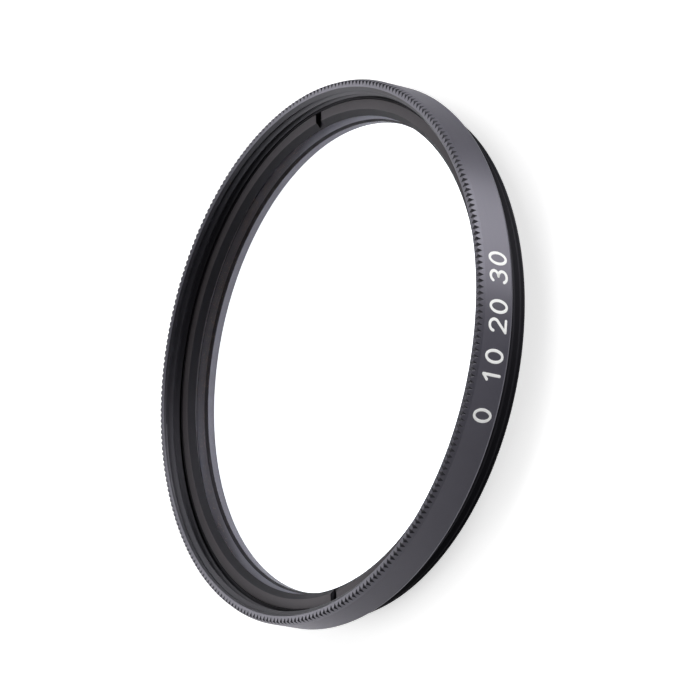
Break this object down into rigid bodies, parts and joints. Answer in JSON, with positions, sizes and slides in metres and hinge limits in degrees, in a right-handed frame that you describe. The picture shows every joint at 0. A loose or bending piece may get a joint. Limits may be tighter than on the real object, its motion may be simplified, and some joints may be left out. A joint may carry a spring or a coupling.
{
  "type": "screw in lens filter",
  "caption": "Round clear glass filter in a slim black metal ring with a knurled front edge, a male thread behind to screw into a lens and a female thread in front.",
  "frame": {"origin": "centre of the rear end face, the one that goes towards the lens and that the filter rests on", "axes": "+Z along the optical axis towards the front of the filter; the camera of the picture stands on the -Y side"},
  "size_m": [0.054, 0.054, 0.0063],
  "materials": {
    "black_frame": "black anodised, matt",
    "black_ring": "black anodised, matt",
    "clear_glass": "polished, thin coating"
  },
  "bodies": {
    "root": {"filter_frame": "black_frame", "retaining_ring": "black_ring", "filter_glass": "clear_glass"}
  },
  "joints": []
}
